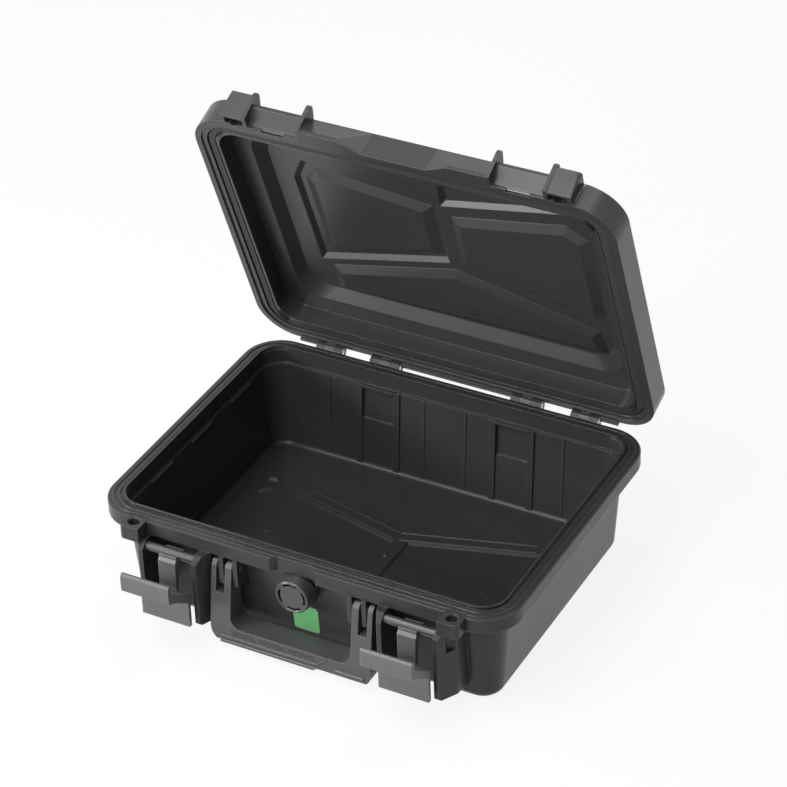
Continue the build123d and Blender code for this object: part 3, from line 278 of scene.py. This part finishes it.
def moulded_plate(name, outline, low, high, flank, place):
    """Plate with sloping edges, flank wide: its foot follows the outline at low and its face is at high."""
    bpy.ops.object.select_all(action="DESELECT")
    bpy.ops.mesh.primitive_circle_add(vertices=len(outline), radius=MM, fill_type="NGON")
    piece = bpy.context.object
    piece.name = name
    piece.data.name = name
    bpy.ops.object.mode_set(mode="EDIT")
    mesh = bmesh.from_edit_mesh(piece.data)
    mesh.verts.ensure_lookup_table()
    for corner, (x, y) in zip(mesh.verts, outline):
        corner.co = (x * MM, y * MM, low * MM)
    bmesh.update_edit_mesh(piece.data)
    bpy.ops.mesh.select_all(action="SELECT")
    step = (high - low) * STEP_SHARE * MM
    slope = (high - low) * (1 - STEP_SHARE) * MM
    bpy.ops.mesh.extrude_region_move(TRANSFORM_OT_translate={"value": (0.0, 0.0, step)})
    bpy.ops.mesh.inset(thickness=flank * MM, depth=0.0)
    bpy.ops.transform.translate(value=(0.0, 0.0, slope))
    bpy.ops.mesh.select_all(action="SELECT")
    bpy.ops.mesh.normals_make_consistent(inside=False)
    bpy.ops.object.mode_set(mode="OBJECT")
    piece.data.transform(place)
    piece.data.update()
    return piece


def dress(piece, body, finish):
    """Body, slot and finish of a new piece."""
    piece.data.materials.clear()
    piece.data.materials.append(finish)
    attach(piece, body)


# Each field of the lid: the heights of its foot and its face with the lid shut and the width of its border,
# and then its outline.
LID_FIELDS = {
    "lid_field_right": (
        (115.3, 111.4, 7.5),
        ((17.0, -42.0), (112.8, -64.9), (128.8, -52.9), (128.8, 31.9), (123.8, 41.9), (14.0, 13.0)),
    ),
    "lid_field_back": (
        (115.3, 111.4, 7.5), ((-104.8, 57.4), (8.0, 23.0), (120.8, 55.9), (124.8, 82.4), (-105.8, 86.4))
    ),
    "lid_field_left": (
        (118.6, 115.2, 8.5), ((-96.0, -57.6), (0.6, -45.0), (-1.8, 12.0), (-105.5, 44.0), (-106.5, -41.5))
    ),
}


def lid_fields(finish):
    """The three raised fields of the lid's panel, with their wide sloping borders."""
    for name, ((foot, face, border), outline) in LID_FIELDS.items():
        dress(moulded_plate(name, outline, foot, face, border, AS_OPENED), "lid", finish)


RIB_OUTLINE = ((2.4, 0.0), (3.5, 0.0), (1.1, 5.2), (0.0, 5.2))
RIB_PITCH = 2.45
RIB_FOOT = 14.0
RIB_GROUPS = ((-50.0, 8), (-27.5, 9), (-3.0, 9))
RIB_SUNK = 0.5
RIB_RISE = 0.6
RIB_EDGE = 0.35
GRIP_FRONT = -136.3
BAND_SUNK = 0.6

# Each band of the grip: its rise and the width of its edge, and then its outline.
GRIP_BANDS = {
    "handle_ridge": (
        (1.1, 0.6), ((-58.0, 10.8), (22.6, 10.8), (31.4, 18.6), (30.0, 20.2), (21.6, 12.8), (-58.0, 12.8))
    ),
    "handle_band": ((1.0, 0.7), ((34.0, 8.6), (60.0, 8.6), (61.6, 10.2), (60.0, 12.2), (37.0, 12.2))),
    "handle_foot_band": ((0.9, 0.7), ((-59.0, 4.9), (19.0, 4.9), (24.6, 8.4), (-59.0, 8.4))),
}


def handle_grip(finish):
    """Slanted ribs, the bent ridge under them and the two plain bands on the handle's grip."""
    pattern = moulded_plate("handle_rib", RIB_OUTLINE, -RIB_SUNK, RIB_RISE, RIB_EDGE, upright(GRIP_FRONT))
    for group, (start, count) in enumerate(RIB_GROUPS, 1):
        for step in range(count):
            rib = pattern.copy()
            rib.data = pattern.data.copy()
            rib.name = f"handle_rib_{group}_{step + 1}"
            bpy.context.scene.collection.objects.link(rib)
            rib.data.transform(Matrix.Translation(((start + step * RIB_PITCH) * MM, 0.0, RIB_FOOT * MM)))
            dress(rib, "handle", finish)
    bpy.data.objects.remove(pattern)
    for name, ((rise, edge), outline) in GRIP_BANDS.items():
        band = moulded_plate(name, outline, -BAND_SUNK, rise, edge, upright(GRIP_FRONT))
        dress(band, "handle", finish)


WALL_LEAN = 0.08
STICKER_CORNER = 2.6
CORNER_STEPS = 5
FILM_SUNK = 0.1
FILM_RISE = 0.35
FILM_EDGE = 0.15


def sticker(finish):
    """Bare sticker with rounded corners on the leaning front wall."""
    low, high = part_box("front_label")
    half = (high.x - low.x) / (2 * MM)
    height = (high.z - low.z) * hypot(1.0, WALL_LEAN) / MM
    outline = []
    for quarter, (x, y) in enumerate(((half, height), (-half, height), (-half, 0.0), (half, 0.0))):
        inward_x = x - STICKER_CORNER if x > 0 else x + STICKER_CORNER
        inward_y = y - STICKER_CORNER if y > 0 else y + STICKER_CORNER
        for step in range(CORNER_STEPS + 1):
            turn = radians(90.0 * (quarter + step / CORNER_STEPS))
            outline.append((inward_x + STICKER_CORNER * cos(turn), inward_y + STICKER_CORNER * sin(turn)))
    lean = Matrix.Rotation(radians(90.0) + atan(WALL_LEAN), 4, "X")
    place = Matrix.Translation((0.0, high.y, low.z)) @ lean
    film = moulded_plate("sticker", outline, -FILM_SUNK, FILM_RISE, FILM_EDGE, place)
    dress(film, "base", finish)
    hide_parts("front_label")


FLOOR_TOP = 3.5
RIDGE_TOP = 5.7
RIDGE_RUNS = (((-89.0, 50.3), (-1.5, 30.8)), ((1.0, 30.8), (103.0, 61.1)))
EJECTOR_MARKS = ((-96.3, -2.0), (88.6, -0.7))
FLOOR_BARS = (((-127.5, 37.0), (-119.0, 44.0)), ((-127.5, 55.0), (-119.5, 57.0)))
BEAD_ASIDE = {"front": -4.3, "back": 4.3}
BEAD_WIDTH = 2.2
BAR_WIDTH = 3.4
DOME_PLACE = (2.0, 5.5)
DOME_RADIUS = 2.6
MARK_RADIUS = 3.2
ROUND_CORNERS = 20

# Each form of the floor: the level it stands on, how far it is sunk, its rise and the width of its edge.
FLOOR_FORMS = {
    "bead": (RIDGE_TOP, 0.4, 0.9, 0.9),
    "dome": (RIDGE_TOP, 0.4, 1.2, 1.7),
    "bar": (FLOOR_TOP, 0.3, 2.2, 1.3),
    "mark": (FLOOR_TOP, 0.3, 0.35, 0.4),
}


def round_outline(x, y, radius):
    """Corners of a round outline."""
    turn = radians(360.0 / ROUND_CORNERS)
    return [(x + radius * cos(turn * step), y + radius * sin(turn * step)) for step in range(ROUND_CORNERS)]


def strip_outline(start, end, width, aside=0.0):
    """Corners of a straight strip from start to end, moved aside from the line between them."""
    run = Vector(end) - Vector(start)
    across = Vector((-run.y, run.x)).normalized()
    near, far = across * (aside - width / 2), across * (aside + width / 2)
    start, end = Vector(start), Vector(end)
    return [tuple(start + near), tuple(end + near), tuple(end + far), tuple(start + far)]


def floor_piece(name, form, outline, finish):
    """A moulded form on the tub's floor."""
    level, sunk, rise, edge = FLOOR_FORMS[form]
    piece = moulded_plate(name, outline, level - sunk, level + rise, edge, FLOOR_LEVEL)
    dress(piece, "base", finish)


def floor_beads(finish):
    """Beads on both sides of two floor ridges, the dome near their meeting and two bars by the wall."""
    for run, (start, end) in enumerate(RIDGE_RUNS, 1):
        for side, aside in BEAD_ASIDE.items():
            outline = strip_outline(start, end, BEAD_WIDTH, aside)
            floor_piece(f"floor_bead_{run}_{side}", "bead", outline, finish)
    floor_piece("floor_dome", "dome", round_outline(*DOME_PLACE, DOME_RADIUS), finish)
    for number, (start, end) in enumerate(FLOOR_BARS, 1):
        floor_piece(f"floor_bar_{number}", "bar", strip_outline(start, end, BAR_WIDTH), finish)


def floor_marks(finish):
    """The small round marks that the mould's ejectors leave on the tub's floor."""
    for number, place in enumerate(EJECTOR_MARKS, 1):
        floor_piece(f"floor_mark_{number}", "mark", round_outline(*place, MARK_RADIUS), finish)


def studio_light(name, place, aim, width, height, power):
    """A soft box that points at aim."""
    lamp = bpy.data.lights.new(name, "AREA")
    lamp.shape = "RECTANGLE"
    lamp.size = width
    lamp.size_y = height
    lamp.energy = power
    holder = bpy.data.objects.new(name, lamp)
    holder.location = place
    holder.rotation_mode = "QUATERNION"
    holder.rotation_quaternion = (Vector(aim) - Vector(place)).to_track_quat("-Z", "Y")
    bpy.context.scene.collection.objects.link(holder)


def seen_white(tree, lit, amount):
    """A mix of a lit shader with plain white for what the camera, metal and glass see directly."""
    path = tree.nodes.new("ShaderNodeLightPath")
    seen = path.outputs["Is Camera Ray"]
    for ray in ("Is Glossy Ray", "Is Transmission Ray"):
        either = tree.nodes.new("ShaderNodeMath")
        either.operation = "MAXIMUM"
        tree.links.new(seen, either.inputs[0])
        tree.links.new(path.outputs[ray], either.inputs[1])
        seen = either.outputs[0]
    share = tree.nodes.new("ShaderNodeMath")
    share.operation = "MULTIPLY"
    share.inputs[1].default_value = amount
    tree.links.new(seen, share.inputs[0])
    white = tree.nodes.new("ShaderNodeEmission")
    mix = tree.nodes.new("ShaderNodeMixShader")
    tree.links.new(share.outputs[0], mix.inputs[0])
    tree.links.new(lit.outputs[0], mix.inputs[1])
    tree.links.new(white.outputs[0], mix.inputs[2])
    return mix


FLOOR_SIZE = 24.0
FLOOR_BELOW = 0.0002
FLOOR_COLOUR = (0.72, 0.72, 0.72, 1.0)
FLOOR_WHITE = 0.87
WORLD_COLOUR = (1.0, 1.0, 1.0, 1.0)
WORLD_STRENGTH = 0.26
WORLD_WHITE = 1.0
AIM = (0.0, 0.0, 0.12)

# Each soft box: its place, and then its width, height and power.
SOFT_BOXES = {
    "top_box": ((-0.45, -0.7, 1.75), (1.1, 0.8, 22.0)),
    "front_box": ((-1.46, -1.4, 0.60), (0.9, 0.36, 36.0)),
    "brow_box": ((-0.3, -1.8, 1.1), (0.8, 0.4, 13.0)),
    "back_strip": ((0.1, 0.85, 1.95), (1.4, 0.16, 15.0)),
}


def studio():
    """Pale floor, white surroundings and soft boxes."""
    bpy.ops.mesh.primitive_plane_add(size=FLOOR_SIZE, location=(0, 0, -FLOOR_BELOW))
    floor = bpy.context.object
    floor.name = "floor"
    pale = bpy.data.materials.new("floor_pale")
    pale.use_nodes = True
    tree = pale.node_tree
    tree.nodes.clear()
    lit = tree.nodes.new("ShaderNodeBsdfDiffuse")
    lit.inputs["Color"].default_value = FLOOR_COLOUR
    output = tree.nodes.new("ShaderNodeOutputMaterial")
    tree.links.new(seen_white(tree, lit, FLOOR_WHITE).outputs[0], output.inputs["Surface"])
    floor.data.materials.append(pale)
    world = bpy.data.worlds.new("surroundings")
    bpy.context.scene.world = world
    world.use_nodes = True
    tree = world.node_tree
    tree.nodes.clear()
    lit = tree.nodes.new("ShaderNodeBackground")
    lit.inputs["Color"].default_value = WORLD_COLOUR
    lit.inputs["Strength"].default_value = WORLD_STRENGTH
    output = tree.nodes.new("ShaderNodeOutputWorld")
    tree.links.new(seen_white(tree, lit, WORLD_WHITE).outputs[0], output.inputs["Surface"])
    for name, (place, (width, height, power)) in SOFT_BOXES.items():
        studio_light(name, place, AIM, width, height, power)


AZIMUTH = radians(29.12)
ELEVATION = radians(34.40)
ROLL = radians(-2.12)
CAMERA_DISTANCE = 2.3603
CAMERA_RIGHT = 0.01043
CAMERA_UP = 0.12919
SENSOR_WIDTH = 36.0
FOCAL_LENGTH = 142.98
NEAREST = 0.05
FARTHEST = 60.0


def photo_camera():
    """Camera at the photograph's angle."""
    back = Vector((sin(AZIMUTH) * cos(ELEVATION), -cos(AZIMUTH) * cos(ELEVATION), sin(ELEVATION)))
    level = Vector((cos(AZIMUTH), sin(AZIMUTH), 0.0))
    above = back.cross(level)
    right = cos(ROLL) * level + sin(ROLL) * above
    up = cos(ROLL) * above - sin(ROLL) * level
    data = bpy.data.cameras.new("camera")
    data.sensor_width = SENSOR_WIDTH
    data.lens = FOCAL_LENGTH
    data.clip_start = NEAREST
    data.clip_end = FARTHEST
    camera = bpy.data.objects.new("camera", data)
    place = CAMERA_RIGHT * right + CAMERA_UP * up + CAMERA_DISTANCE * back
    axes = Matrix((right, up, back)).transposed().to_4x4()
    camera.matrix_world = Matrix.Translation(place) @ axes
    bpy.context.scene.collection.objects.link(camera)
    bpy.context.scene.camera = camera


finishes = finish_nodes()
lid_fields(finishes["lid_shell"])
handle_grip(finishes["handle"])
sticker(finishes["front_label"])
floor_beads(finishes["base_shell"])
floor_marks(finishes["base_shell"])
studio()
photo_camera()
bpy.context.scene.view_settings.view_transform = "Standard"
